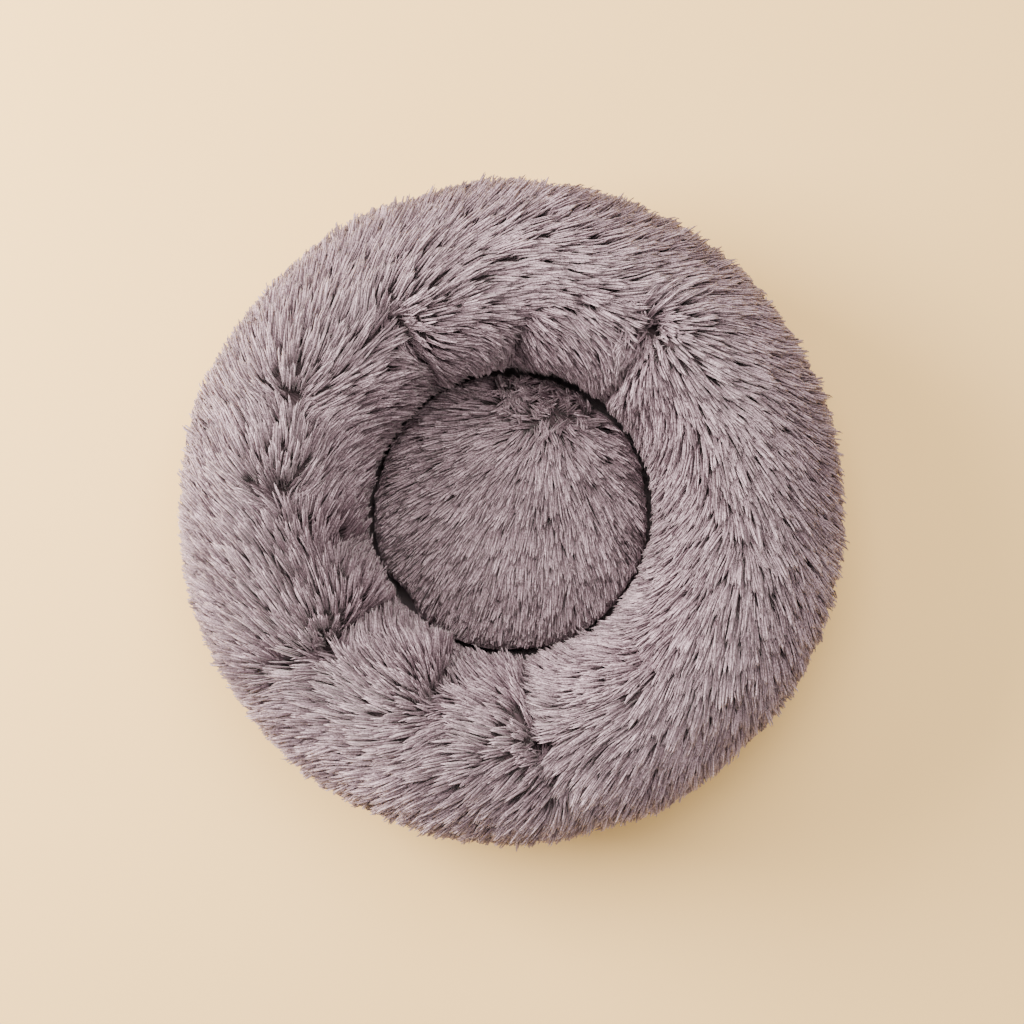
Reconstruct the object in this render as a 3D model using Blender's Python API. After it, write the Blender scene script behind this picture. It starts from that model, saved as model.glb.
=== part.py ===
"""Round pet bed: a filled plush ring on a flat base, a cushion that lifts out of it, and a zip at the back.

Metres, +Z up. The origin is the middle of the base's underside, and the bed stands on z = 0.
"""

from math import cos, pi, radians, sin

import bmesh
import bpy
from mathutils import Matrix, Vector

# Clearances
GAP = 0.0003  # between two pieces that are sewn or laid together
RUN = 0.0004  # round the zip slider and the pull, so that they can move
CUSHION_CLEARANCE = 0.003  # between the cushion and the ring's narrowest place

# The ring, over the lying fur
BED_RADIUS = 0.300
BED_HEIGHT = 0.190
NEST_RADIUS = 0.127  # the narrowest place of the nest
WAIST_HEIGHT = 0.090  # where the ring is widest
PILE = 0.014  # knitted backing with the fur lying on it
BAG_WALL = 0.0012
BAG_SLIT = 0.010  # the bag's filling slit, underneath
SEAM_ANGLE = radians(-85)  # one cross seam of the cover, and the other is opposite

# The base
BASE_TUCK = 0.034  # how far the base is set in under the widest place
BASE_THICKNESS = 0.0016
BINDING_WIDTH = 0.0036
BINDING_HEIGHT = 0.0040
HEM_INSET = 0.004  # the ring's backing stands this far inside the base's edge
NEST_FLOOR_WIDENING = 0.0205  # the nest's floor reaches this far under the ring's narrowest place
FLOOR_CLOTH = 0.0012
TAPE_WIDTH = 0.013
TAPE_THICKNESS = 0.0008

# The cushion
CUSHION_CROWN = 0.085  # its height in the middle
CUSHION_SEAM = 0.038  # how high its side seam lies over its underside
CUSHION_CLOTH = 0.0012
CUSHION_FULLNESS = 2.5  # 2 is an ellipse, and more is boxier

# The zip, which runs round the base's edge at the back
ZIP_START = radians(99)
ZIP_SWEEP = radians(78)
ZIP_TAPE_WIDTH = 0.0130
ZIP_TAPE_THICKNESS = 0.0008
COIL_WIDTH = 0.0026  # each of the two coils
COIL_DEPTH = 0.0020
STOP_LENGTH = 0.0024
BOTTOM_STOP_LENGTH = 0.0036
SLIDER_LENGTH = 0.0090
SLIDER_PLATE = 0.0012
SLIDER_FLANGE = 0.0008
BRIDGE_LENGTH = 0.0050  # the slider's bridge, which holds the pull
BRIDGE_WIDTH = 0.0030
BRIDGE_BAR = 0.0011
BRIDGE_SHOULDER = 0.7  # how much of the bridge's length is flat on top
PULL_BAR = 0.0011
PULL_LENGTH = 0.0230
PULL_EYE = 0.0048
PULL_MARGIN = 0.0012
PULL_TAPER = 0.8  # its far end's width over its eye's

# The care label
LABEL_ANGLE = radians(-62)
LABEL_WIDTH = 0.028
LABEL_LENGTH = 0.020
LABEL_THICKNESS = 0.0006

# Roundness
TURN_STEPS = 48
ZIP_STEP = radians(2)
ARCH_STEPS = 6
BULGE_STEPS = 2
DOME_STEPS = 6

# Heights and radii that follow from these
LIFT = 0.0003  # the binding stays clear of the ground
BASE_RADIUS = BED_RADIUS - BASE_TUCK
BASE_TOP = BASE_THICKNESS + GAP
HEM_HEIGHT = BINDING_HEIGHT + GAP
ZIP_RADIUS = BASE_RADIUS + GAP
ZIP_MIDDLE = HEM_HEIGHT + ZIP_TAPE_WIDTH + GAP / 2
ZIP_TOP = ZIP_MIDDLE + ZIP_TAPE_WIDTH + GAP / 2
COIL_RADIUS = ZIP_RADIUS + ZIP_TAPE_THICKNESS + GAP
COIL_FRONT = COIL_RADIUS + COIL_DEPTH
PLATE_BACK = COIL_FRONT + RUN
PLATE_FRONT = PLATE_BACK + SLIDER_PLATE
PULL_SWING = PULL_BAR * 0.72  # from the middle of the pull's square bar to its corners, and a little over
PIVOT_RADIUS = PLATE_FRONT + RUN + PULL_SWING
TAPE_END_ANGLE = PULL_LENGTH / COIL_RADIUS  # bare tape past each stop, for the pull to lie on
STOP_ANGLE = STOP_LENGTH / COIL_RADIUS
BOTTOM_STOP_ANGLE = BOTTOM_STOP_LENGTH / COIL_RADIUS
STOP_START = ZIP_START + TAPE_END_ANGLE
BOTTOM_STOP_START = ZIP_START + ZIP_SWEEP - TAPE_END_ANGLE - BOTTOM_STOP_ANGLE
SLIDER_ANGLE = STOP_START + STOP_ANGLE + (SLIDER_LENGTH / 2 + RUN) / COIL_RADIUS
CUSHION_RADIUS = NEST_RADIUS - CUSHION_CLEARANCE
CUSHION_SEAT = BASE_TOP + FLOOR_CLOTH + GAP


def clear_scene():
    for thing in list(bpy.data.objects):
        bpy.data.objects.remove(thing, do_unlink=True)


def material(name, colour, roughness, metallic=0.0):
    made = bpy.data.materials.new(name)
    made.use_nodes = True
    shader = made.node_tree.nodes["Principled BSDF"]
    shader.inputs["Base Color"].default_value = (*colour, 1)
    shader.inputs["Roughness"].default_value = roughness
    shader.inputs["Metallic"].default_value = metallic
    return made


def finish(bm, name, look, smooth=True):
    """Turns the bmesh into a named object with outward faces and the material."""
    bmesh.ops.remove_doubles(bm, verts=bm.verts, dist=1e-6)
    bmesh.ops.recalc_face_normals(bm, faces=bm.faces)
    mesh = bpy.data.meshes.new(name)
    bm.to_mesh(mesh)
    bm.free()
    mesh.materials.append(look)
    if smooth:
        mesh.shade_smooth()
        mesh.set_sharp_from_angle(angle=radians(40))
    made = bpy.data.objects.new(name, mesh)
    bpy.context.scene.collection.objects.link(made)
    return made


def turned(name, section, look, start=SEAM_ANGLE, sweep=2 * pi, steps=TURN_STEPS):
    """Carries a closed section, in (radius, height), round the vertical axis."""
    bm = bmesh.new()
    whole = sweep > 2 * pi - 1e-6
    rings = []
    for i in range(steps if whole else steps + 1):
        angle = start + sweep * i / steps
        rings.append([bm.verts.new((r * cos(angle), r * sin(angle), z)) for r, z in section])
    for i in range(steps):
        ring, onward = rings[i], rings[(i + 1) % len(rings)]
        for j in range(len(section)):
            k = (j + 1) % len(section)
            if section[j][0] > 0 or section[k][0] > 0:
                bm.faces.new((ring[j], onward[j], onward[k], ring[k]))
    if not whole:
        bm.faces.new(rings[0])
        bm.faces.new(rings[-1])
    return finish(bm, name, look)


def box_section(inside, outside, bottom, top):
    return [(inside, bottom), (outside, bottom), (outside, top), (inside, top)]


def plate(outline, depth, place, name, look):
    """A prism: the outline in local x and y, from -depth / 2 to depth / 2 in local z."""
    bm = bmesh.new()
    ends = []
    for z in (-depth / 2, depth / 2):
        ends.append([bm.verts.new(place @ Vector((x, y, z))) for x, y in outline])
    bm.faces.new(ends[0])
    bm.faces.new(ends[1])
    for i in range(len(outline)):
        k = (i + 1) % len(outline)
        bm.faces.new((ends[0][i], ends[0][k], ends[1][k], ends[1][i]))
    return finish(bm, name, look, smooth=False)


def combine(target, tool, operation):
    """Joins the tool to the target, or cuts it away, and keeps the tool as a hidden helper."""
    change = target.modifiers.new(tool.name, "BOOLEAN")
    change.object = tool
    change.operation = operation
    tool.hide_render = True
    tool.display_type = "WIRE"


def superellipse(radius, rise, power, steps):
    """A quarter arc from (radius, 0) to (0, rise)."""
    arc = []
    for i in range(steps + 1):
        t = pi / 2 * i / steps
        arc.append((radius * cos(t) ** (2 / power), rise * sin(t) ** (2 / power)))
    arc[-1] = (0.0, rise)
    return arc


def ring_arch(out, bottom_outside, bottom_inside):
    """The ring's wall, up its outer side, over the top and down the nest's side.

    out is how far it lies outside the inner face of the cover's backing.
    """
    hem_outside = BASE_RADIUS - HEM_INSET + out
    hem_inside = NEST_RADIUS + NEST_FLOOR_WIDENING + PILE - out
    widest = BED_RADIUS - PILE + out
    narrowest = NEST_RADIUS + PILE - out
    skirt = ZIP_TOP + HEM_INSET / 2
    bulge = []
    for i in range(BULGE_STEPS):
        s = i / BULGE_STEPS
        bulge.append((s * (2 - s), skirt + (WAIST_HEIGHT - skirt) * s))
    arch = [(hem_outside, bottom_outside)]
    arch += [(hem_outside + (widest - hem_outside) * spread, z) for spread, z in bulge]
    middle, reach = (widest + narrowest) / 2, (widest - narrowest) / 2
    rise = BED_HEIGHT - PILE - WAIST_HEIGHT + out
    for i in range(ARCH_STEPS + 1):
        t = pi * i / ARCH_STEPS
        arch.append((middle + reach * cos(t), WAIST_HEIGHT + rise * sin(t)))
    arch += [(hem_inside + (narrowest - hem_inside) * spread, z) for spread, z in reversed(bulge)]
    arch.append((hem_inside, bottom_inside))
    return arch


def make_cover(name, start, look):
    """Half of the ring's plush cover, from one cross seam to the other."""
    hems = (HEM_HEIGHT, BASE_TOP + TAPE_THICKNESS + GAP)
    seam = GAP / 2 / NEST_RADIUS
    section = ring_arch(0, *hems) + ring_arch(PILE, *hems)[::-1]
    return turned(name, section, look, start + seam, pi - 2 * seam, TURN_STEPS // 2)


def open_for_zip(cover, look):
    """Raises the cover's hem above the zip."""
    margin = GAP / ZIP_RADIUS
    space = box_section(BASE_RADIUS - 2 * HEM_INSET, BED_RADIUS, -HEM_INSET, ZIP_TOP + GAP)
    steps = round(ZIP_SWEEP / ZIP_STEP / 4)
    cutter = turned("zip_space", space, look, ZIP_START - margin, ZIP_SWEEP + 2 * margin, steps)
    combine(cover, cutter, "DIFFERENCE")


def bag_outline(out, bottom):
    """A face of the bag's wall, from one lip of its filling slit round to the other."""
    arch = ring_arch(out, bottom, bottom)
    middle = (arch[0][0] + arch[-1][0]) / 2
    return [(middle + BAG_SLIT / 2, bottom)] + arch + [(middle - BAG_SLIT / 2, bottom)]


def make_ring(plush, sacking, fibre):
    make_cover("rim_cover_right", SEAM_ANGLE, plush)
    open_for_zip(make_cover("rim_cover_left", SEAM_ANGLE + pi, plush), plush)
    inner_face = -GAP - BAG_WALL
    bag = bag_outline(-GAP, BASE_TOP) + bag_outline(inner_face, BASE_TOP + BAG_WALL)[::-1]
    turned("rim_bag", bag, sacking)
    fill_bottom = BASE_TOP + BAG_WALL + GAP
    turned("rim_fill", ring_arch(inner_face - GAP, fill_bottom, fill_bottom), fibre)


def make_base(oxford, webbing, sacking, satin):
    turned("base_panel", box_section(0, BASE_RADIUS, 0, BASE_THICKNESS), oxford)
    edge = BASE_RADIUS + GAP
    turned("base_binding", box_section(edge, edge + BINDING_WIDTH, LIFT, BINDING_HEIGHT), webbing)
    floor = NEST_RADIUS + NEST_FLOOR_WIDENING - GAP
    turned("nest_floor", box_section(0, floor, BASE_TOP, BASE_TOP + FLOOR_CLOTH), sacking)
    tape = floor + GAP
    turned("gather_tape", box_section(tape, tape + TAPE_WIDTH, BASE_TOP, BASE_TOP + TAPE_THICKNESS), webbing)
    start = edge + BINDING_WIDTH + GAP
    outline = [(start, -LABEL_WIDTH / 2), (start + LABEL_LENGTH, -LABEL_WIDTH / 2)]
    outline += [(x, -y) for x, y in reversed(outline)]
    place = Matrix.Rotation(LABEL_ANGLE, 4, "Z") @ Matrix.Translation((0, 0, BASE_THICKNESS / 2))
    plate(outline, LABEL_THICKNESS, place, "care_label", satin)


def make_cushion(plush, cotton, fibre):
    """The cushion's fur top, its cloth underside and its filling, on one empty that lifts."""
    lift = bpy.data.objects.new("cushion_lift", None)
    bpy.context.scene.collection.objects.link(lift)
    seam = CUSHION_SEAT + CUSHION_SEAM
    above, below = seam + GAP / 2, seam - GAP / 2
    crown = CUSHION_SEAT + CUSHION_CROWN - above
    drop = below - CUSHION_SEAT

    def over(trim):
        arc = superellipse(CUSHION_RADIUS - trim, crown - trim, CUSHION_FULLNESS, DOME_STEPS)
        return [(r, above + z) for r, z in arc]

    def under(trim):
        arc = superellipse(CUSHION_RADIUS - trim, drop - trim, CUSHION_FULLNESS, DOME_STEPS)
        return [(r, below - z) for r, z in arc]

    step = (CUSHION_RADIUS - PILE - GAP, below)
    pieces = [
        turned("cushion_top", over(0) + over(PILE)[::-1], plush),
        turned("cushion_bottom", under(0) + under(CUSHION_CLOTH)[::-1], cotton),
        turned("cushion_fill", over(PILE + GAP)[::-1] + [step] + under(CUSHION_CLOTH + GAP), fibre),
    ]
    for piece in pieces:
        piece.parent = lift


def make_zip_strips(webbing, nylon, steel):
    """The two tapes, their coils and the stops at both ends."""
    tape = (ZIP_RADIUS, ZIP_RADIUS + ZIP_TAPE_THICKNESS)
    coil = (COIL_RADIUS, COIL_FRONT)
    stop = (COIL_RADIUS, COIL_FRONT + RUN)
    stop_width = COIL_WIDTH + RUN
    steps = round(ZIP_SWEEP / ZIP_STEP)
    coil_start = STOP_START + STOP_ANGLE + GAP / COIL_RADIUS
    coil_sweep = BOTTOM_STOP_START - coil_start - GAP / COIL_RADIUS
    for side, name in ((1, "upper"), (-1, "lower")):

        def band(width):
            ends = (ZIP_MIDDLE + side * GAP / 2, ZIP_MIDDLE + side * (GAP / 2 + width))
            return min(ends), max(ends)

        tape_band = box_section(*tape, *band(ZIP_TAPE_WIDTH))
        coil_band = box_section(*coil, *band(COIL_WIDTH))
        stop_band = box_section(*stop, *band(stop_width))
        turned(f"zip_tape_{name}", tape_band, webbing, ZIP_START, ZIP_SWEEP, steps)
        turned(f"zip_coil_{name}", coil_band, nylon, coil_start, coil_sweep, steps)
        turned(f"zip_top_stop_{name}", stop_band, steel, STOP_START, STOP_ANGLE, 1)
    reach = GAP / 2 + stop_width
    block = box_section(*stop, ZIP_MIDDLE - reach, ZIP_MIDDLE + reach)
    turned("zip_bottom_stop", block, steel, BOTTOM_STOP_START, BOTTOM_STOP_ANGLE, 1)


def make_slider(steel):
    """A channel that runs over both coils, with a bridge on its front for the pull."""
    grip = GAP / 2 + COIL_WIDTH + RUN
    outside = grip + SLIDER_FLANGE
    back = ZIP_RADIUS + ZIP_TAPE_THICKNESS + RUN
    channel = [(back, -outside), (PLATE_FRONT, -outside), (PLATE_FRONT, outside), (back, outside)]
    channel += [(back, grip), (PLATE_BACK, grip), (PLATE_BACK, -grip), (back, -grip)]
    upright = Matrix.Translation((0, 0, ZIP_MIDDLE)) @ Matrix.Rotation(pi / 2, 4, "X")
    slider = plate(channel, SLIDER_LENGTH, upright, "zip_slider", steel)
    half, inner = BRIDGE_LENGTH / 2, BRIDGE_LENGTH / 2 - BRIDGE_BAR
    sunk = PLATE_FRONT - SLIDER_PLATE / 2
    reach = PIVOT_RADIUS + PULL_SWING + RUN
    top = reach + BRIDGE_BAR
    shoulder = half * BRIDGE_SHOULDER
    arch = [(sunk, -half), (top, -shoulder), (top, shoulder), (sunk, half)]
    arch += [(sunk, inner), (reach, inner), (reach, -inner), (sunk, -inner)]
    bridge = plate(arch, BRIDGE_WIDTH, Matrix.Translation((0, 0, ZIP_MIDDLE)), "slider_bridge", steel)
    combine(slider, bridge, "UNION")
    bridge.parent = slider
    slider.rotation_euler.z = SLIDER_ANGLE
    return slider


def make_pull(slider, steel):
    """A flat tab with an eye at one end, whose bar lies under the slider's bridge."""
    bar = PULL_BAR / 2
    eye = BRIDGE_WIDTH / 2 + RUN
    wide = eye + PULL_MARGIN
    flat = Matrix.Rotation(pi / 2, 4, "Y")
    taper = wide * PULL_TAPER
    outline = [(-wide, -bar), (wide, -bar), (wide, PULL_EYE + bar), (taper, PULL_LENGTH - bar)]
    outline += [(taper - PULL_MARGIN, PULL_LENGTH), (PULL_MARGIN - taper, PULL_LENGTH)]
    outline += [(-taper, PULL_LENGTH - bar), (-wide, PULL_EYE + bar)]
    pull = plate(outline, PULL_BAR, flat, "zip_pull", steel)
    window = [(-eye, bar), (eye, bar), (eye, PULL_EYE), (-eye, PULL_EYE)]
    cutter = plate(window, 3 * PULL_BAR, flat, "pull_eye", steel)
    combine(pull, cutter, "DIFFERENCE")
    cutter.parent = pull
    pull.location = (PIVOT_RADIUS, 0, ZIP_MIDDLE)
    pull.parent = slider


def main():
    clear_scene()
    plush = material("grey_plush", (0.29, 0.24, 0.26), 0.9)
    sacking = material("non_woven", (0.75, 0.74, 0.72), 0.9)
    fibre = material("polyester_fibre", (0.9, 0.9, 0.88), 0.95)
    oxford = material("oxford_cloth", (0.10, 0.09, 0.10), 0.8)
    webbing = material("woven_tape", (0.16, 0.13, 0.14), 0.8)
    cotton = material("plain_cotton", (0.35, 0.31, 0.32), 0.85)
    satin = material("satin_ribbon", (0.85, 0.84, 0.82), 0.4)
    nylon = material("nylon_coil", (0.12, 0.10, 0.11), 0.45)
    steel = material("nickel_plate", (0.62, 0.60, 0.58), 0.3, 1.0)
    make_ring(plush, sacking, fibre)
    make_base(oxford, webbing, sacking, satin)
    make_cushion(plush, cotton, fibre)
    make_zip_strips(webbing, nylon, steel)
    make_pull(make_slider(steel), steel)


main()
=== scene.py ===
# %% [markdown]
# # A round plush pet bed
# The bed is a fibre-filled ring under long-pile plush, sewn to a flat Oxford-cloth base, with a domed
# plush cushion lying loose in its nest. A zip runs low round the back, so that the ring can be emptied.
# The measured CAD model comes first, as a fixed frame. Every soft piece is then made again over it as
# cloth, filling or fur, and rides the CAD body that it belongs to.

# %% Load the CAD frame
from math import cos, pi, radians, sin

import bpy
import numpy as np
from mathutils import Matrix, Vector


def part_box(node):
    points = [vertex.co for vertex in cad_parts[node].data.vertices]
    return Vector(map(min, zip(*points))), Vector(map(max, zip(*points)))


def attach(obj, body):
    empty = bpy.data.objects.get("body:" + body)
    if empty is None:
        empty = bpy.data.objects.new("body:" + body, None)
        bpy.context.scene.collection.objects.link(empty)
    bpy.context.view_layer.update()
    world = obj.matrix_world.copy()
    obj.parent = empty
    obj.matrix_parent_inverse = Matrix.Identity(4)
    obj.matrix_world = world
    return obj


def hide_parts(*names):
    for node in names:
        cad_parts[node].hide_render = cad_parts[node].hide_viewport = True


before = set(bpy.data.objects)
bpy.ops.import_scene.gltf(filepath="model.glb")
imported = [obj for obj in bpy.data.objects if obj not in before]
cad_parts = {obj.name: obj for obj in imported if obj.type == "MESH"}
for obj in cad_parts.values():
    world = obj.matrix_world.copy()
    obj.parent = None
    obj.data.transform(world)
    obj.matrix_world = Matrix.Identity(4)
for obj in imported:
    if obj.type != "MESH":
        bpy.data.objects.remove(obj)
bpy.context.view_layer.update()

MM = 0.001
SEED = 7
WAVE = pi / 10  # the length of one wave of a wave texture at scale 1, in metres
scene = bpy.context.scene

# %% [markdown]
# ## Small helpers
# Colours are picked in sRGB, the way a screen shows them, but the renderer adds light in linear numbers,
# so one function turns the hex value round. Materials here are built from nodes. One helper adds a node
# with its settings and links. Most finishes here are two close tones that follow one fine pattern, with
# some relief from the same pattern, so the end of that chain is written once.

# %% Colours and nodes
def linear(hex_colour):
    """An sRGB hex colour as linear RGBA."""
    parts = [int(hex_colour[i:i + 2], 16) / 255 for i in (1, 3, 5)]
    return [p / 12.92 if p <= 0.04045 else ((p + 0.055) / 1.055) ** 2.4 for p in parts] + [1.0]


def add(tree, kind, inputs=None, **settings):
    """Adds a shader node, sets it up, and links or sets its inputs."""
    made = tree.nodes.new("ShaderNode" + kind)
    for name, value in settings.items():
        setattr(made, name, value)
    for name, value in (inputs or {}).items():
        if isinstance(value, bpy.types.NodeSocket):
            tree.links.new(value, made.inputs[name])
        else:
            made.inputs[name].default_value = value
    return made


def new_finish(name):
    """An empty material and its node tree."""
    finish = bpy.data.materials.new(name)
    finish.use_nodes = True
    finish.node_tree.nodes.clear()
    return finish, finish.node_tree


def in_two_tones(tree, height, dark, light, surface, relief=None):
    """Ends a material: two tones that follow a height, that height as relief, and the surface's values."""
    tones = add(tree, "ValToRGB", {"Fac": height})
    tones.color_ramp.elements[0].color = linear(dark)
    tones.color_ramp.elements[1].color = linear(light)
    inputs = {"Base Color": tones.outputs["Color"], **surface}
    if relief:
        bump = add(tree, "Bump", {"Height": height, "Distance": relief[0], "Strength": relief[1]})
        inputs["Normal"] = bump.outputs["Normal"]
    shader = add(tree, "BsdfPrincipled", inputs)
    add(tree, "OutputMaterial", {"Surface": shader.outputs["BSDF"]})


def patterned(name, dark, light, kind, pattern, surface, relief=None, **settings):
    """A material in two tones that follow one texture on Object coordinates."""
    finish, tree = new_finish(name)
    where = add(tree, "TexCoord")
    texture = add(tree, kind, {"Vector": where.outputs["Object"], **pattern}, **settings)
    in_two_tones(tree, texture.outputs["Fac"], dark, light, surface, relief)
    return finish


# %% Selections, points and copies
def settle():
    """Object mode, with nothing selected: operators act on all that is selected."""
    if bpy.context.mode != "OBJECT":
        bpy.ops.object.mode_set(mode="OBJECT")
    bpy.ops.object.select_all(action="DESELECT")


def places(obj):
    """The places of a mesh's points, as an array."""
    flat = np.empty(len(obj.data.vertices) * 3)
    obj.data.vertices.foreach_get("co", flat)
    return flat.reshape(-1, 3)


def put_places(obj, points):
    """Moves a mesh's points to new places."""
    obj.data.vertices.foreach_set("co", np.ascontiguousarray(points, np.float64).ravel())
    obj.data.update()


def outward(obj):
    """The normals of a mesh's points, as an array."""
    flat = np.empty(len(obj.data.vertices) * 3)
    obj.data.vertex_normals.foreach_get("vector", flat)
    return flat.reshape(-1, 3)


def use_only(obj):
    """Selects one object and makes it active."""
    settle()
    obj.select_set(True)
    bpy.context.view_layer.objects.active = obj


def edit_all():
    """Edit mode on the active object, with all of it selected."""
    bpy.ops.object.mode_set(mode="EDIT")
    bpy.ops.mesh.select_all(action="SELECT")


def fresh_copy(obj, name):
    """A copy of an object with a mesh of its own and none of the frame's marks."""
    made = obj.copy()
    made.data = made.data.copy()
    made.name = made.data.name = name
    made.parent = None
    for key in [key for key in made.keys() if key.startswith("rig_")]:
        del made[key]
    scene.collection.objects.link(made)
    return made


def repeated(name, points, faces):
    """One mesh of many copies, from each copy's points and the faces that all of them share."""
    count, each = points.shape[:2]
    corners = np.concatenate([np.array(face) for face in faces])
    sizes = np.array([len(face) for face in faces])
    starts = np.concatenate([[0], np.cumsum(sizes)[:-1]])
    copy = np.arange(count)[:, None]
    mesh = bpy.data.meshes.new(name)
    mesh.vertices.add(count * each)
    mesh.vertices.foreach_set("co", points.ravel())
    mesh.loops.add(count * len(corners))
    mesh.loops.foreach_set("vertex_index", (copy * each + corners).ravel())
    mesh.polygons.add(count * len(sizes))
    mesh.polygons.foreach_set("loop_start", (copy * len(corners) + starts).ravel())
    mesh.update(calc_edges=True)
    made = bpy.data.objects.new(name, mesh)
    scene.collection.objects.link(made)
    return made


def dress(obj, finish, body, nodes=(), hard_from=radians(40)):
    """Shading, a material, and what a piece rides and stands for.

    Edges sharper than hard_from stay hard; with None the piece is smooth all over.
    """
    use_only(obj)
    if hard_from is None:
        bpy.ops.object.shade_smooth()
    else:
        bpy.ops.object.shade_smooth_by_angle(angle=hard_from)
    obj.data.materials.clear()
    obj.data.materials.append(finish)
    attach(obj, body)
    if nodes:
        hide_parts(*nodes)


# %% [markdown]
# ## Camera, floor and light
# The bed is seen from straight above on a plain cream floor. A long lens from well above keeps the ring
# round and shows only a little of its inner wall. One large softbox from the upper left gives the fur its
# light and dark sides and lays a soft shadow to the right, and a wide weak light fills the dark side.

# %% Camera
LENS = 70.0
FRAME_WIDTH = 0.9185  # how much the camera takes in at the ring's widest height
WAIST_HEIGHT = 0.090
SENSOR = 36.0
settle()
bpy.ops.object.camera_add(location=(0, 0, WAIST_HEIGHT + FRAME_WIDTH * LENS / SENSOR), rotation=(0, 0, 0))
camera = bpy.context.object
camera.data.lens = LENS
camera.data.sensor_width = SENSOR
scene.camera = camera
print("Camera height:", round(camera.location.z, 3))

# %% Floor and light
# Matt cream paper: no gloss, and a grain too fine to see from here, so it only takes a very soft mottle.
paper = patterned("cream_paper_floor", "#fdd28a", "#ffd691", "TexNoise", {"Scale": 3.0, "Detail": 2.0},
                  {"Roughness": 0.95, "Specular IOR Level": 0.1})
settle()
bpy.ops.mesh.primitive_plane_add(size=40.0, location=(0, 0, 0))
floor = bpy.context.object
floor.name = "floor"
floor.data.materials.append(paper)

LIGHTS = [  # name, place, watts, size
    ("softbox_upper_left", (-1.95, 0.62, 1.05), 185.0, 1.4),
    ("softbox_above", (0.10, 1.15, 2.7), 112.0, 2.0),
    ("low_fill_front", (0.30, -2.20, 1.0), 7.0, 2.0),
]
for name, place, watts, size in LIGHTS:
    settle()
    bpy.ops.object.light_add(type="AREA", location=place)
    lamp = bpy.context.object
    lamp.name = name
    lamp.data.energy = watts
    lamp.data.size = size
    lamp.rotation_euler = (-Vector(place)).to_track_quat("-Z", "Y").to_euler()
    lamp.data.color = linear("#fff8f0")[:3]
room = bpy.data.worlds.new("studio")
room.use_nodes = True
room.node_tree.nodes["Background"].inputs["Color"].default_value = linear("#fffaf2")
room.node_tree.nodes["Background"].inputs["Strength"].default_value = 0.64
scene.world = room
print("Lights:", [light[0] for light in LIGHTS])

# %% [markdown]
# ## The ring's shape
# The ring is a bag of fibre pulled tight under plush. Its section is a tall rounded arch that stands on
# the base: widest at half height outside, narrowest at the same height inside. A torus gives the closed
# tube, and its points are moved onto that arch. A voxel remesh gives it even cloth, and a cloth
# simulation with air pressure inside evens out its wall as filling does. The pressure moves it by about a
# millimetre, so it starts that much smaller than the space that the CAD gives it.

# %% The arch of the ring's section
OUTER = 0.286  # the cover's backing, at the widest place
INNER = 0.141  # and at the nest's narrowest place
CREST_RISE = 0.086
OUTER_HEM = 0.262
INNER_HEM = 0.1615
SKIRT_TOP = 0.0326  # below this the outside goes straight down to the base
BOTTOM = 0.0034
MIDDLE = (OUTER + INNER) / 2
HALF_WIDTH = (OUTER - INNER) / 2


def arch(turn, out=0.0):
    """Radius and height of the section: turn 0 is the widest place, pi / 2 the crest, pi the narrowest."""
    turn = np.mod(turn, 2 * pi)
    upper = turn <= pi
    share = np.clip(np.where(turn < 1.5 * pi, turn - pi, 2 * pi - turn) / (pi / 2), 0, 1)
    down = np.clip(share * 1.18, 0, 1)  # the last of the turn runs along the underside
    along = np.clip((share - 0.85) / 0.15, 0, 1)
    low = WAIST_HEIGHT - (WAIST_HEIGHT - BOTTOM + out) * down
    skirt = np.clip((low - SKIRT_TOP) / (WAIST_HEIGHT - SKIRT_TOP), 0, 1)
    out_side = OUTER_HEM + out + (OUTER - OUTER_HEM) * skirt * (2 - skirt)
    rise = np.clip((low - BOTTOM) / (WAIST_HEIGHT - BOTTOM), 0, 1)
    in_side = INNER_HEM - out - (INNER_HEM - INNER) * rise * (2 - rise)
    side = np.where(turn > 1.5 * pi, out_side, in_side)
    side = side + (MIDDLE - side) * along
    r = np.where(upper, MIDDLE + (HALF_WIDTH + out) * np.cos(turn), side)
    z = np.where(upper, WAIST_HEIGHT + (CREST_RISE + out) * np.sin(turn), low)
    return r, z


# %% A padded tube
VOXEL = 6 * MM
PRESSURE = 4.0
START_SMALLER = 1 * MM
MOST_SWELL = 5 * MM
STEPS = 20
QUICK_SWELL = 0.5 * MM


def swell(obj, voxel, most):
    """Even cloth by a voxel remesh, then air pressure for some steps, with each point's way capped."""
    use_only(obj)
    obj.data.remesh_voxel_size = voxel
    bpy.ops.object.voxel_remesh()
    start = places(obj)
    cloth = obj.modifiers.new("filling_pressure", "CLOTH")
    cloth.settings.use_pressure = True
    cloth.settings.uniform_pressure_force = PRESSURE
    cloth.settings.quality = 5
    cloth.settings.effector_weights.gravity = 0
    for step in range(1, STEPS + 1):
        scene.frame_set(step)
    bpy.ops.object.modifier_apply(modifier=cloth.name)
    scene.frame_set(1)
    way = places(obj) - start
    length = np.linalg.norm(way, axis=1, keepdims=True)
    put_places(obj, start + way * np.minimum(1, most / np.maximum(length, 1e-9)))


settle()
bpy.ops.mesh.primitive_torus_add(major_segments=180, minor_segments=56, major_radius=MIDDLE,
                                 minor_radius=HALF_WIDTH)
ring = bpy.context.object
ring.name = "ring_backing"
points = places(ring)
around = np.arctan2(points[:, 1], points[:, 0])
section = np.arctan2(points[:, 2], np.hypot(points[:, 0], points[:, 1]) - MIDDLE)
r, z = arch(section, -START_SMALLER)
put_places(ring, np.stack([r * np.cos(around), r * np.sin(around), z], 1))
swell(ring, VOXEL, MOST_SWELL)
print("Ring:", len(ring.data.vertices), "points, box", np.round(places(ring).max(0), 4))

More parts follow.
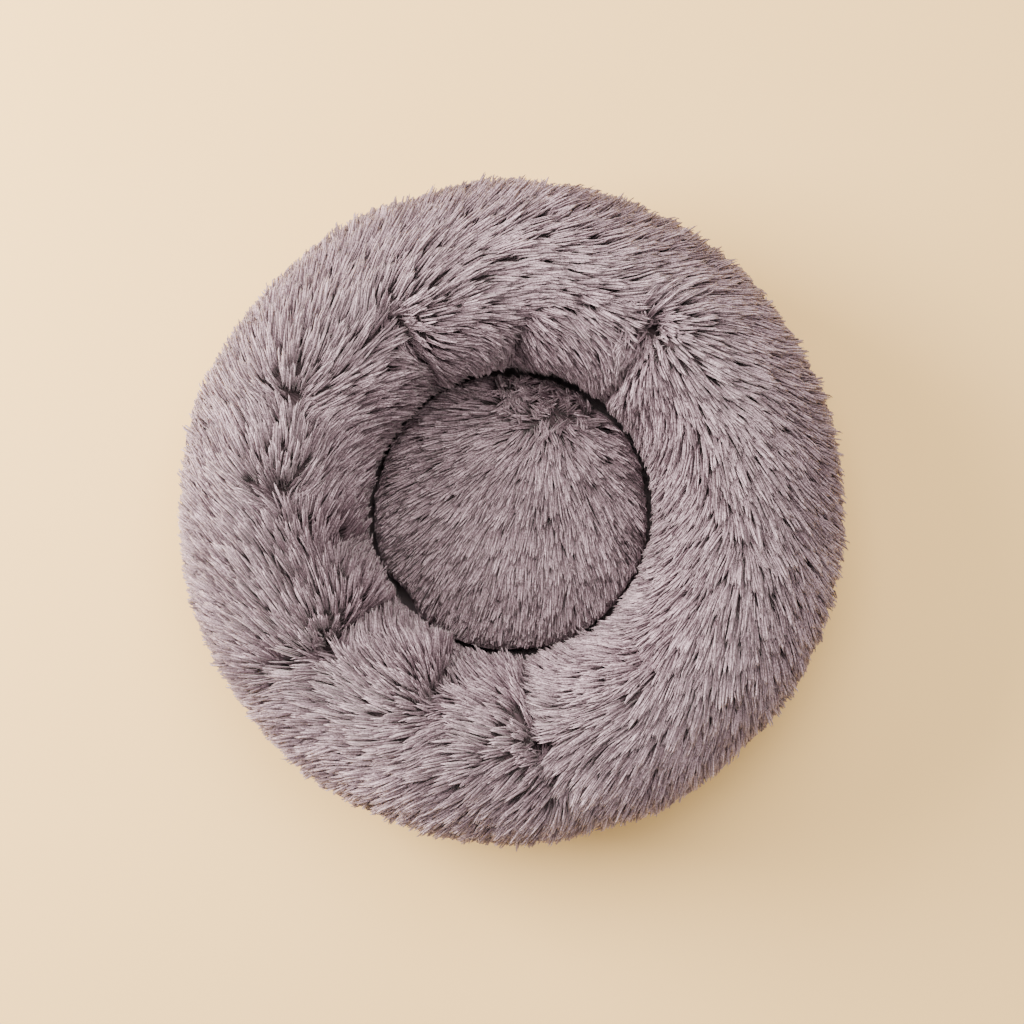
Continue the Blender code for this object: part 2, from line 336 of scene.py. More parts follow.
# %% [markdown]
# ## Puckers, creases and lumps
# Where the plush is gathered and its cross seams are pulled down, the ring puckers: small pits with the
# fur fanning away from them, and creases that run in to the nest. Between them the filling makes soft
# lumps. They are pressed into the simulated tube afterwards, as a sculptor would, because a remesh would
# wipe them out.

# %% Where the ring puckers
# angle (degrees), radius, depth and spread (mm), and how strongly the fur fans away
PUCKERS = [
    (52, 197, 15, 16, 1.5), (89, 156, 12, 15, 0.9), (74, 187, 8, 12, 0.6), (122, 186, 13, 15, 1.1),
    (152, 210, 12, 14, 1.0), (175, 198, 14, 14, 1.2), (-143, 196, 13, 14, 1.0), (-146, 238, 7, 12, 0.6),
    (-112, 172, 12, 14, 0.9), (-95, 214, 8, 11, 0.6), (-84, 201, 14, 13, 1.1), (-81, 236, 8, 12, 0.7),
    (-46, 168, 8, 16, 0.5), (-1, 186, 6, 10, 0.4), (-8, 201, 6, 10, 0.4), (-168, 160, 8, 15, 0.6),
]
# start and end angle (degrees) and radius (mm) of each crease, its depth and half width (mm)
CREASES = [
    (-85, 124, -83, 204, 19, 8), (-143, 122, -144, 198, 18, 8), (50, 124, 52, 197, 15, 8),
    (121, 124, 122, 190, 16, 8), (-83, 204, -80, 236, 9, 7), (-112, 124, -112, 172, 13, 8),
    (89, 124, 89, 156, 8, 8),
]
# raised tufts between them
LOBES = [(-121, 150, 7, 20), (-156, 156, 6, 20), (137, 165, 6, 22), (20, 170, 3, 40), (-60, 175, 4, 26),
         (100, 178, 4, 24), (160, 240, 3, 40), (70, 240, 3, 36), (-110, 245, 3, 34), (-30, 240, 3, 45)]


def spot(angle, radius):
    """A place in plan from an angle in degrees and a radius in millimetres."""
    return np.array([cos(radians(angle)), sin(radians(angle))]) * radius * MM


def near(plan, angle, radius, spread):
    """1 at a place in plan, fading to 0 over a spread in millimetres."""
    return np.exp(-(np.linalg.norm(plan - spot(angle, radius), axis=1) / (spread * MM)) ** 2)


def pressed(plan, upper):
    """How deep the ring is pressed in at each place in plan, upper side only, in metres."""
    depth = np.zeros(len(plan))
    for angle, radius, deep, spread, _ in PUCKERS:
        depth += deep * MM * near(plan, angle, radius, spread)
    for a0, r0, a1, r1, deep, half in CREASES:
        start, end = spot(a0, r0), spot(a1, r1)
        share = np.clip((plan - start) @ (end - start) / ((end - start) @ (end - start)), 0, 1)
        off = np.linalg.norm(plan - start - share[:, None] * (end - start), axis=1) / (half * MM)
        depth += deep * MM * np.exp(-off ** 2)
    for angle, radius, high, spread in LOBES:
        depth -= high * MM * near(plan, angle, radius, spread)
    return depth * upper


def waves(points, rng, count, longest, size):
    """A smooth random height, from a few waves in random directions."""
    total = np.zeros(len(points))
    for _ in range(count):
        way = rng.normal(size=3)
        way /= np.linalg.norm(way)
        length = longest * rng.uniform(0.5, 1.0)
        total += np.sin(points @ way * 2 * pi / length + rng.uniform(0, 2 * pi))
    return total * size / np.sqrt(count)


LUMP_LENGTH, LUMP_HEIGHT = 0.16, 1.6 * MM
SPARE = 1 * MM  # how far a lump may stand past the arch
rng = np.random.default_rng(SEED)
points, normals = places(ring), outward(ring)
upper = np.clip((points[:, 2] - 0.06) / 0.05, 0, 1)
points = points - normals * pressed(points[:, :2], upper)[:, None]
points = points + normals * waves(points, rng, 8, LUMP_LENGTH, LUMP_HEIGHT)[:, None]
points[:, 2] = np.maximum(points[:, 2], BOTTOM)
reach = np.hypot(points[:, 0], points[:, 1])
fit = np.clip(reach, INNER - SPARE, OUTER + SPARE) / reach
points[:, :2] *= fit[:, None]
put_places(ring, points)
print("Puckers:", len(PUCKERS), "creases:", len(CREASES))

# %% [markdown]
# ## Bag, filling and ground cloth
# Inside the plush there is a non-woven bag, and inside that the fibre. Both fill the same shape, so they are
# copies of the ring drawn in along its normals. The plush's ground cloth shows between locks, dark and
# ribbed. All three are shaded smooth all over.

# %% Bag and filling follow the same shape
BAG_DEPTH = 1.4 * MM
FIBRE_DEPTH = 3.0 * MM


def inset_copy(obj, name, depth):
    """A copy of a padded shape, drawn in along its normals."""
    made = fresh_copy(obj, name)
    put_places(made, places(obj) - outward(obj) * depth)
    return made


def dress_padded(obj, finish, body, nodes):
    """The same as dress, for a padded piece: smooth all over."""
    dress(obj, finish, body, nodes, hard_from=None)


ring_bag = inset_copy(ring, "ring_bag", BAG_DEPTH)
ring_filling = inset_copy(ring, "ring_filling", FIBRE_DEPTH)

# Knitted ground cloth of the plush: dyed with the pile, matt, with fine rows of loops 1.6 mm apart.
ground_cloth = patterned("knitted_plush_ground", "#3a2b2f", "#54434a", "TexWave",
                         {"Scale": WAVE / (1.6 * MM), "Distortion": 1.5},
                         {"Roughness": 0.9, "Sheen Weight": 0.2}, (0.3 * MM, 0.4), bands_direction="DIAGONAL")
# Spun-bonded non-woven: short fibres pressed flat, so it is matt and mottled like felt paper.
non_woven = patterned("spun_bonded_non_woven", "#cfc9c3", "#e6e1db", "TexNoise",
                      {"Scale": 1 / (2 * MM), "Detail": 3.0}, {"Roughness": 0.9})
# Crimped polyester fibre: a white tangle whose curls catch and lose the light.
fibre = patterned("crimped_polyester_fibre", "#d9d7d2", "#f7f6f3", "TexNoise",
                  {"Scale": 1 / (3 * MM), "Distortion": 2.0}, {"Roughness": 0.85, "Sheen Weight": 0.3},
                  (1 * MM, 0.6))
dress_padded(ring, ground_cloth, "rim", ["rim_cover_left", "rim_cover_right"])
dress_padded(ring_bag, non_woven, "rim", ["rim_bag"])
dress_padded(ring_filling, fibre, "rim", ["rim_fill"])
print("Padded pieces:", ring.name, ring_bag.name, ring_filling.name)

# %% [markdown]
# ## The cushion's shape
# The cushion is a stuffed round pillow: a plush dome sewn to a flatter underside. It is simulated in the
# same way, from a sphere flattened below its seam, and lies in the nest with a small gap all round.

# %% A round pillow
CUSHION_RADIUS = 0.117  # the backing, under the pile
CUSHION_SEAT = 0.0040
CUSHION_SEAM = 0.0414
CUSHION_CROWN = 0.0735
CUSHION_VOXEL = 5 * MM
settle()
bpy.ops.mesh.primitive_uv_sphere_add(segments=96, ring_count=48, radius=1.0)
pillow = bpy.context.object
pillow.name = "cushion_backing"
points = places(pillow)
flat = np.hypot(points[:, 0], points[:, 1])
fuller = flat ** 0.85 / np.maximum(flat, 1e-9)  # a pillow is fuller towards its edge than a ball
points[:, :2] *= (fuller * (CUSHION_RADIUS - QUICK_SWELL))[:, None]
half_height = np.where(points[:, 2] > 0, CUSHION_CROWN - CUSHION_SEAM, CUSHION_SEAM - CUSHION_SEAT)
rise = np.abs(points[:, 2]) ** 0.9 * (half_height - QUICK_SWELL)
points[:, 2] = CUSHION_SEAM + np.sign(points[:, 2]) * rise
put_places(pillow, points)
swell(pillow, CUSHION_VOXEL, MOST_SWELL)
points, normals = places(pillow), outward(pillow)
points += normals * waves(points, rng, 6, 0.12, 1.0 * MM)[:, None]
reach = np.hypot(points[:, 0], points[:, 1])
points[:, :2] *= (np.minimum(reach, CUSHION_RADIUS + SPARE) / np.maximum(reach, 1e-9))[:, None]
points[:, 2] = np.clip(points[:, 2], CUSHION_SEAT, CUSHION_CROWN + SPARE)
put_places(pillow, points)
pillow_filling = inset_copy(pillow, "cushion_filling", FIBRE_DEPTH)
dress_padded(pillow, ground_cloth, "cushion", ["cushion_top"])
dress_padded(pillow_filling, fibre, "cushion", ["cushion_fill"])
print("Cushion box", np.round(places(pillow).min(0), 4), np.round(places(pillow).max(0), 4))

# %% [markdown]
# ## Woven cloths
# A plain weave is two sets of threads that pass over and under each other. The difference of two waves at
# right angles gives that grid of small pillows, and the same height drives the colour and the bump.
# Real threads here are about 0.3 mm, too fine to show in a render, so they are drawn about 1 mm wide.

# %% A weave, and the cloths made with it
def weave(tree, vector, thread):
    """The height of a plain weave with that thread width, from 0 between threads to 1 on top."""
    warp = add(tree, "TexWave", {"Vector": vector, "Scale": WAVE / (2 * thread)}, bands_direction="X")
    weft = add(tree, "TexWave", {"Vector": vector, "Scale": WAVE / (2 * thread)}, bands_direction="Y")
    crossed = add(tree, "Math", {0: warp.outputs["Fac"], 1: weft.outputs["Fac"]}, operation="SUBTRACT")
    return add(tree, "Math", {0: crossed.outputs["Value"]}, operation="ABSOLUTE").outputs["Value"]


def round_the_axis(tree, radius):
    """Coordinates that run along a band wound round the bed: length round it, then height."""
    where = add(tree, "TexCoord")
    parts = add(tree, "SeparateXYZ", {"Vector": where.outputs["Object"]})
    turn = add(tree, "Math", {0: parts.outputs["Y"], 1: parts.outputs["X"]}, operation="ARCTAN2")
    length = add(tree, "Math", {0: turn.outputs["Value"], 1: radius}, operation="MULTIPLY")
    return add(tree, "CombineXYZ", {"X": length.outputs["Value"], "Y": parts.outputs["Z"]}).outputs["Vector"]


def woven_finish(name, dark, light, thread, radius=None, roughness=0.8, sheen=0.2):
    """A woven cloth in two tones, flat, or wound round the bed at a radius."""
    finish, tree = new_finish(name)
    vector = round_the_axis(tree, radius) if radius else add(tree, "TexCoord").outputs["Object"]
    in_two_tones(tree, weave(tree, vector, thread), dark, light,
                 {"Roughness": roughness, "Sheen Weight": sheen}, (0.2 * MM, 0.5))
    return finish


# Coated Oxford cloth is coarse and a little shiny; sewing tape is ribbed; the plain cloth is soft and matt.
oxford = woven_finish("coated_oxford_cloth", "#2b2427", "#50464a", 1.1 * MM, roughness=0.55, sheen=0.0)
plain_cloth = woven_finish("plain_woven_cloth", "#6d6065", "#9c8e94", 0.8 * MM)
sewing_tape = woven_finish("ribbed_sewing_tape", "#2a2125", "#52464b", 0.7 * MM, radius=0.267, sheen=0.1)

# %% [markdown]
# ## The cushion's underside
# The lower half of the pillow is plain cloth. It is a copy of that half, cut off just below the seam, laid
# over it and given the cloth's thickness, so it follows the filling without a second simulation.

# %% The cushion's underside
CLOTH_THICKNESS = 0.5 * MM
underside = fresh_copy(pillow, "cushion_underside")
use_only(underside)
edit_all()
bpy.ops.mesh.bisect(plane_co=(0, 0, CUSHION_SEAM - 6 * MM), plane_no=(0, 0, 1), clear_outer=True)
settle()
put_places(underside, places(underside) + outward(underside) * 0.2 * MM)
use_only(underside)
skin = underside.modifiers.new("cloth_thickness", "SOLIDIFY")
skin.thickness = CLOTH_THICKNESS
skin.offset = 0.0
bpy.ops.object.modifier_apply(modifier=skin.name)
points = places(underside)
points[:, 2] = np.maximum(points[:, 2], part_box("cushion_bottom")[0][2])
put_places(underside, points)
dress(underside, plain_cloth, "cushion", ["cushion_bottom"], hard_from=None)
print("Underside:", len(underside.data.polygons), "faces")

# %% [markdown]
# ## One lock of fur
# Long pile does not stand up as single hairs: static and use gather it into pointed locks two or three
# millimetres wide and about 28 mm long. One lock is modelled as a slim three-sided spike with a few rings
# along it, so that it can bend. Everything else is copies of it, five to a tuft, drawn together at the
# tips, so a lock has to stay at about a dozen faces.

# %% Model a lock
settle()
bpy.ops.mesh.primitive_cone_add(vertices=3, radius1=1.0, radius2=0.0, depth=1.0, location=(0, 0, 0.5),
                                end_fill_type="NGON")
lock = bpy.context.object
lock.name = "lock_pattern"
bpy.ops.object.transform_apply(location=True)
bpy.ops.object.mode_set(mode="EDIT")
LOCK_RINGS = ((0.0, 0.75), (0.38, 1.0), (0.84, 0.85))  # height and width, as shares of the whole
for height, _ in LOCK_RINGS[1:]:
    bpy.ops.mesh.select_all(action="SELECT")
    bpy.ops.mesh.bisect(plane_co=(0, 0, height), plane_no=(0, 0, 1))
settle()
points = places(lock)
for height, width in LOCK_RINGS:
    ring_of = np.abs(points[:, 2] - height) < 1e-4
    spread = np.hypot(points[ring_of, 0], points[ring_of, 1])
    points[ring_of, :2] *= (width / spread)[:, None]
put_places(lock, points)
LOCK_POINTS = places(lock)
LOCK_FACES = [tuple(face.vertices) for face in lock.data.polygons]
bpy.data.objects.remove(lock)
print("Lock:", len(LOCK_POINTS), "points,", len(LOCK_FACES), "faces")

# %% [markdown]
# ## How the fur lies
# Fur is combed by the cut of the cloth and by handling. On the ring it runs clockwise along the crest,
# turns outward down the outside and inward down the nest's wall. It fans away from every pucker. On the
# cushion it falls away from one whorl near the back. Below the ring's widest place it hangs straight down.

# %% The flow of the ring's fur
TURN_ON_CREST = radians(73)  # from straight outward towards clockwise
# Places where the fur leans round more or less than elsewhere: angle, radius, spread (mm), degrees more
SWIRLS = [(84, 215, 36, 24), (-108, 170, 42, -20), (-36, 175, 38, -13), (178, 175, 40, -14),
          (-156, 150, 26, -10), (30, 225, 34, -12), (160, 230, 34, -8)]


def unit(v):
    """The same directions, one metre long."""
    return v / np.maximum(np.linalg.norm(v, axis=1, keepdims=True), 1e-9)


def ring_flow(points, normals):
    """The way the fur lies at each place on the ring, along the surface."""
    plan = points[:, :2]
    radius = np.hypot(plan[:, 0], plan[:, 1])
    radial = np.stack([plan[:, 0] / radius, plan[:, 1] / radius, np.zeros(len(plan))], 1)
    clockwise = np.stack([radial[:, 1], -radial[:, 0], radial[:, 2]], 1)
    side = (radius - MIDDLE) / HALF_WIDTH
    below = np.clip((WAIST_HEIGHT - points[:, 2]) / WAIST_HEIGHT, 0, 1)
    side = np.sign(side) * np.clip(np.abs(side) + 0.3 * below, 0, 1.1)
    turn = TURN_ON_CREST - radians(48) * side - radians(35) * side ** 3
    for angle, at_radius, spread, more in SWIRLS:
        turn += radians(more) * near(plan, angle, at_radius, spread)
    turn = np.clip(turn, radians(10), radians(172))
    down_out = unit(np.cross(normals, clockwise))  # along the section: outward over the crest, then down
    flow = down_out * np.cos(turn)[:, None] + clockwise * np.sin(turn)[:, None]
    for angle, at_radius, _, spread, fan in PUCKERS:
        away = plan - spot(angle, at_radius)
        off = np.linalg.norm(away, axis=1)
        strength = fan * np.exp(-(off / (2.3 * spread * MM)) ** 2) * (points[:, 2] > WAIST_HEIGHT)
        flow[:, :2] += away / np.maximum(off, 1e-6)[:, None] * strength[:, None]
    flow -= normals * np.sum(flow * normals, 1)[:, None]
    return unit(flow)


# %% The flow of the cushion's fur
WHORL = (0.033, 0.090)
RUFFLE_CENTRE = np.array([0.036, 0.108])
RUFFLE_RADII = np.array([0.036, 0.025])
ruffle_rng = np.random.default_rng(SEED + 5)


def ruffled(points):
    """How rough the cushion's fur is at each place: one patch by the whorl, rubbed against the ring."""
    off = (((points[:, :2] - RUFFLE_CENTRE) / RUFFLE_RADII) ** 2).sum(1)
    return np.clip(2.1 * np.exp(-off), 0, 1)


def cushion_flow(points, normals):
    """The way the fur lies on the cushion: away from its whorl, and every way in the ruffled patch."""
    away = points - np.array([*WHORL, CUSHION_CROWN])
    away[:, 2] = 0
    rough = ruffled(points)[:, None]
    any_way = np.stack([waves(points, ruffle_rng, 8, 0.014, 1.0), waves(points, ruffle_rng, 8, 0.014, 1.0),
                        np.zeros(len(points))], 1)
    away = unit(away) * (1 - rough) + unit(any_way) * rough
    return unit(away - normals * np.sum(away * normals, 1)[:, None])


# %% [markdown]
# ## Growing a coat of fur
# A particle system would make hair curves, which no mesh file can hold. So the script grows the coat itself:
# it takes even random places on the cloth, draws each lock's middle line from the cloth's normal and the
# nap's direction, and wraps the modelled lock round that line.

# %% Places, lines and locks
LOCKS_IN_A_TUFT = 5
MOST_LOCKS = 12000  # in one piece, which keeps it under 200,000 triangles
LOCK_FLATNESS = 0.7
CELL_EDGE = 0.08  # the margin round a lock's cell of the map
TUFT_SPREAD = 2.3 * MM
LOCK_WIDTH = 0.95 * MM
ROOT_DEPTH = 1.0 * MM  # how far a lock's root goes into the cloth


def sample(obj, count, rng, keep):
    """Even random places on a mesh, with their normals, where keep says that fur grows."""
    obj.data.calc_loop_triangles()
    corners = np.empty(len(obj.data.loop_triangles) * 3, np.int32)
    obj.data.loop_triangles.foreach_get("vertices", corners)
    corners = corners.reshape(-1, 3)
    points, normals = places(obj), outward(obj)
    a, b, c = points[corners[:, 0]], points[corners[:, 1]], points[corners[:, 2]]
    area = np.linalg.norm(np.cross(b - a, c - a), axis=1) / 2
    area *= keep((a + b + c) / 3)
    share_of = np.cumsum(area) / area.sum()
    pick = np.searchsorted(share_of, (np.arange(count) + rng.random(count)) / count)
    u, v = rng.random(count), rng.random(count)
    over = u + v > 1
    u[over], v[over] = 1 - u[over], 1 - v[over]
    share = np.stack([1 - u - v, u, v], 1)[:, :, None]
    at = (points[corners[pick]] * share).sum(1)
    up = unit((normals[corners[pick]] * share).sum(1))
    return at, up


def spines(root, up, flow, length, lean, side_curl, steps):
    """The middle line of each lock: it rises, then lies over along the flow, with a slight curl."""
    across = np.cross(up, flow)
    line = [root]
    for k in range(1, len(steps)):
        t = (steps[k] + steps[k - 1]) / 2
        angle = lean[:, 1] + (lean[:, 0] - lean[:, 1]) * (1 - t) ** 2.2
        turn = side_curl * (t - 0.25)
        way = flow * np.cos(turn)[:, None] + across * np.sin(turn)[:, None]
        way = way * np.cos(angle)[:, None] + up * np.sin(angle)[:, None]
        line.append(line[-1] + way * (length * (steps[k] - steps[k - 1]))[:, None])
    return np.stack(line, 1)


def lock_mesh(name, line, up, width, tone, body):
    """One mesh of bent locks, with a map cell of its own for each lock."""
    heights = np.unique(np.round(LOCK_POINTS[:, 2], 4))
    level = np.searchsorted(heights, np.round(LOCK_POINTS[:, 2], 4))
    count, each = len(line), len(LOCK_POINTS)
    ahead = np.gradient(line, axis=1)
    ahead /= np.maximum(np.linalg.norm(ahead, axis=2, keepdims=True), 1e-9)
    across = np.cross(ahead, up[:, None, :])
    across /= np.maximum(np.linalg.norm(across, axis=2, keepdims=True), 1e-9)
    above = np.cross(across, ahead)
    x, y = LOCK_POINTS[None, :, 0, None], LOCK_POINTS[None, :, 1, None]
    round_line = across[:, level] * x + above[:, level] * y * LOCK_FLATNESS
    made = repeated(name, line[:, level] + round_line * width[:, None, None], LOCK_FACES)
    mesh = made.data
    mesh.attributes.new("tone", "FLOAT", "POINT").data.foreach_set("value", np.repeat(tone, each))
    along = np.tile(LOCK_POINTS[:, 2], count)
    mesh.attributes.new("along", "FLOAT", "POINT").data.foreach_set("value", along)
    grid = int(np.ceil(np.sqrt(count)))
    number = np.arange(count)
    corner_of = np.stack([number % grid, number // grid], 1)[:, None, :]
    cells = (corner_of + CELL_EDGE + lock_cells()[None, :, :] * (1 - 2 * CELL_EDGE)) / grid
    mesh.uv_layers.new(name="OFBake").data.foreach_set("uv", cells.ravel())
    dress(made, fur_finish, body, hard_from=None)


def lock_cells():
    """A lock's faces laid flat in a unit square: its three sides beside each other, root below."""
    cell = []
    for face in LOCK_FACES:
        around = [np.arctan2(LOCK_POINTS[v, 1], LOCK_POINTS[v, 0]) / (2 * pi) % 1 for v in face]
        heights = [LOCK_POINTS[v, 2] for v in face]
        if max(heights) < 1e-4:
            cell += [(0.1, 0.0), (0.5, 0.06), (0.9, 0.0)]
            continue
        body = [a for a, h in zip(around, heights) if h < 0.99]
        if max(body) - min(body) > 0.5:
            around = [a + 1 if a < 0.5 else a for a in around]
            body = [a + 1 if a < 0.5 else a for a in body]
        low = min(body)
        cell += [(((a - low) * 3 if h < 0.99 else 0.5) / 3 + (low % 1) * 0.98, h)
                 for a, h in zip(around, heights)]
    return np.clip(np.array(cell), 0, 1)


def sideways(at, up):
    """1 where the surface faces away from the bed's axis, -1 where it faces the axis, 0 on top."""
    return np.sum(up[:, :2] * at[:, :2], 1) / np.maximum(np.linalg.norm(at[:, :2], axis=1), 1e-9)


def grow(obj, tufts, rng, keep, flow_of, length_of, lean_of, guard):
    """Everything that one coat of fur needs: lines, ups, widths, tones and the place of each lock."""
    at, up = sample(obj, tufts, rng, keep)
    flow = flow_of(at, up)
    across = np.cross(up, flow)
    patch = waves(at, rng, 12, 0.05, 1.0)
    swing = radians(5) * waves(at, rng, 10, 0.07, 1.0) + rng.normal(0, radians(2.5), tufts)
    flow = flow * np.cos(swing)[:, None] + across * np.sin(swing)[:, None]
    across = np.cross(up, flow)
    length = length_of(at) * rng.uniform(0.82, 1.15, tufts)
    lean = np.stack([rng.normal(radians(72), radians(7), tufts),
                     rng.normal(radians(-1), radians(4), tufts)], 1)
    lean[:, 1] += lean_of(at, up)
    stray = rng.random(tufts) < 0.03
    lean[stray, 1] += radians(14)
    curl = rng.normal(0, radians(7), tufts)
    steps = np.unique(np.round(LOCK_POINTS[:, 2], 4))
    line = spines(at, up, flow, length, lean, curl, steps)
    n = LOCKS_IN_A_TUFT
    rep = np.repeat(np.arange(tufts), n)
    offset = rng.normal(0, TUFT_SPREAD, (tufts * n, 2))
    shift = across[rep] * offset[:, :1] + flow[rep] * offset[:, 1:]
    stretch = rng.uniform(0.78, 1.08, tufts * n)
    drawn = 1 - 0.35 * steps ** 0.8
    lines = at[rep][:, None, :] + (line[rep] - at[rep][:, None, :]) * stretch[:, None, None]
    lines = lines + shift[:, None, :] * drawn[None, :, None]
    lines = lines + rng.normal(0, 0.32 * MM, lines.shape) * (steps[None, :, None] > 0.01)
    lines[:, 0] -= up[rep] * ROOT_DEPTH
    lines = guard(lines)
    width = rng.uniform(0.75, 1.25, tufts * n) * LOCK_WIDTH
    tone = 0.5 + 0.12 * patch[rep] + rng.normal(0, 0.10, tufts)[rep] + rng.normal(0, 0.20, tufts * n)
    return lines, up[rep], width, np.clip(tone, 0, 1), at[rep]


# %% [markdown]
# ## The fur's material
# The pile is crimped polyester fibre, dyed a mauve grey and brushed. It is soft-looking because each fibre
# scatters light: rough, hardly glossy, with a pale sheen where it turns away. The tips catch the light and
# the roots sit in shade, so the colour runs from a dark plum root to a pale rosy tip: painted shade at the
# root and painted light at the tip. Each lock has its own tone, since the dye takes unevenly and the nap
# turns, and painted light and shade are added to that tone in patches.

# %% Brushed long-pile polyester
CRIMP_SCALE = 620.0  # one crimp in 1.6 mm: the real one is too fine to show in a render
fur_finish, tree = new_finish("brushed_polyester_pile")
# The root-to-tip ramp is painted shade at the root and painted light at the tip; the tone attribute holds
# each lock's own tone with painted light and shade added.
tone = add(tree, "Attribute", attribute_name="tone")
along = add(tree, "Attribute", attribute_name="along")
root_to_tip = add(tree, "ValToRGB", {"Fac": along.outputs["Fac"]})
light_or_dark = add(tree, "ValToRGB", {"Fac": tone.outputs["Fac"]})
where = add(tree, "TexCoord")
crimp = add(tree, "TexNoise", {"Vector": where.outputs["Object"], "Scale": CRIMP_SCALE, "Detail": 1.0})
fibres = add(tree, "ValToRGB", {"Fac": crimp.outputs["Fac"]})
root_to_tip.color_ramp.elements.new(0.45)
for ramp, stops in ((root_to_tip, [(0.0, "#4a373f"), (0.45, "#b8a0ab"), (1.0, "#e9d0db")]),
                    (light_or_dark, [(0.0, "#7c7076"), (1.0, "#ffffff")]),
                    (fibres, [(0.32, "#a89da1"), (0.62, "#ffffff")])):
    for stop, (position, colour) in zip(ramp.color_ramp.elements, stops):
        stop.position = position
        stop.color = linear(colour)
toned = add(tree, "MixRGB", {"Fac": 1.0, "Color1": root_to_tip.outputs["Color"],
                             "Color2": light_or_dark.outputs["Color"]}, blend_type="MULTIPLY")
mixed = add(tree, "MixRGB", {"Fac": 1.0, "Color1": toned.outputs["Color"],
                             "Color2": fibres.outputs["Color"]}, blend_type="MULTIPLY")
shader = add(tree, "BsdfPrincipled", {"Base Color": mixed.outputs["Color"], "Roughness": 0.62,
                                      "Specular IOR Level": 0.25, "Sheen Weight": 0.35,
                                      "Sheen Roughness": 0.45, "Sheen Tint": linear("#efe2e4")})
add(tree, "OutputMaterial", {"Surface": shader.outputs["BSDF"]})

# %% [markdown]
# ## The ring's coat
# Each tuft's length, shade and lean follow from where it grows. Locks hug the outer flank, stand off in the
# nest, and splay at the bottom so that they cover the base's edge. A last step keeps every point off the
# floor, clear of the zip and inside its own side of the groove round the cushion.

# %% Where the ring's fur grows, how long it is, and where light and shade are painted on it
RING_TUFTS = 17600
ZIP_FROM, ZIP_TO = 97, 179  # degrees, where the zip runs
ZIP_ROOTS, ZIP_CLEAR = 0.040, 0.030  # above the zip, locks grow and end no lower than this
LOWEST_ROOTS = 0.011


def by_zip(points):
    """Which places are in the zip's stretch of the ring's outside."""
    angle = np.degrees(np.arctan2(points[..., 1], points[..., 0]))
    return (angle > ZIP_FROM) & (angle < ZIP_TO) & (np.hypot(points[..., 0], points[..., 1]) > MIDDLE)


def on_ring(middle):
    """Where fur grows on the ring: not on its underside, and not where the zip is."""
    return (middle[:, 2] > np.where(by_zip(middle), ZIP_ROOTS, LOWEST_ROOTS)).astype(float)


def ring_length(at):
    """Lock length: full on the crest and outside, shorter in the nest and in the puckers."""
    radius = np.hypot(at[:, 0], at[:, 1])
    inside = np.clip((MIDDLE - radius) / HALF_WIDTH, 0, 1)
    deep = np.clip(pressed(at[:, :2], np.ones(len(at))) / (14 * MM), 0, 1)
    return (33 - 6 * inside - 12 * deep * (at[:, 2] > WAIST_HEIGHT)) * MM


# Patches of painted light and painted shade on the ring's fur: angle, radius, spread (mm), lighter or darker
PAINTED_LIGHT_AND_SHADE = [(-148, 235, 75, -0.34), (-172, 165, 45, -0.20), (-95, 235, 60, -0.10), (178, 215, 60, -0.10),
          (92, 235, 80, 0.12), (40, 250, 60, 0.12), (-10, 285, 45, 0.16), (-45, 255, 60, -0.06)]


def painted_ring_light_and_shade(at):
    """How much the fur is lightened by painted light and darkened by painted shade at each place."""
    more = np.zeros(len(at))
    for angle, radius, spread, step in PAINTED_LIGHT_AND_SHADE:
        more += step * near(at[:, :2], angle, radius, spread)
    return more


# %% How the ring's fur leans, and what it keeps clear of
def ring_lean(at, up):
    """How much further locks stand off than elsewhere, in radians; less than 0 hugs the cloth."""
    side = sideways(at, up)
    low = np.clip((0.055 - at[:, 2]) / 0.035, 0, 1)
    out_side = np.clip(side, 0, 1) * (low * radians(36) - (1 - low) * radians(15))
    return out_side + radians(13) * np.clip(-side, 0, 1)


NEST_FUR = 126 * MM  # the ring's locks end outside this radius, but for tips that hang over the cushion
CROWDING = 9 * MM  # within this much of a limit, tips crowd together instead of stopping at a line
WIDEST_FUR = 296 * MM
CLEAR_OF_FLOOR = 1.2 * MM
# The groove round the cushion is open in some places and hidden by tufts in others.
# angle and spread (degrees), width (mm)
GROOVES = [(6, 30, 4.5), (52, 14, 3.0), (-143, 8, 8.0), (166, 16, 3.0), (-88, 6, 3.0), (-38, 12, 2.0)]
ragged_rng = np.random.default_rng(SEED + 6)


def groove(angle):
    """The groove's width at each angle, in metres."""
    width = np.zeros_like(angle)
    for middle_angle, spread, mm in GROOVES:
        off = (angle - middle_angle + 180) % 360 - 180
        width += mm * MM * np.exp(-(off / spread) ** 2)
    return width


def ring_guard(lines):
    """Keeps the fur off the floor and clear of the zip, and lets tips hang over the cushion's edge."""
    radius = np.hypot(lines[..., 0], lines[..., 1])
    angle = np.degrees(np.arctan2(lines[..., 1], lines[..., 0]))
    ragged = waves(lines[:, 0], ragged_rng, 8, 0.010, 2.0 * MM)[:, None]
    over_cushion = np.clip((lines[..., 2] - 0.046) / 0.022, 0, 1)
    limit = NEST_FUR - over_cushion * np.clip(11 * MM - 2 * groove(angle) + ragged, 0, 14 * MM)
    past = (limit + CROWDING - radius) / CROWDING
    lowest = np.where(by_zip(lines), ZIP_CLEAR, CLEAR_OF_FLOOR)
    kept = np.where(past > 0, limit + CROWDING - CROWDING * np.tanh(past), radius)
    kept = np.where(kept > WIDEST_FUR, WIDEST_FUR + 0.7 * (kept - WIDEST_FUR), kept)
    lines[..., :2] *= (kept / np.maximum(radius, 1e-9))[..., None]
    lines[..., 2] = np.maximum(lines[..., 2], lowest)
    return lines


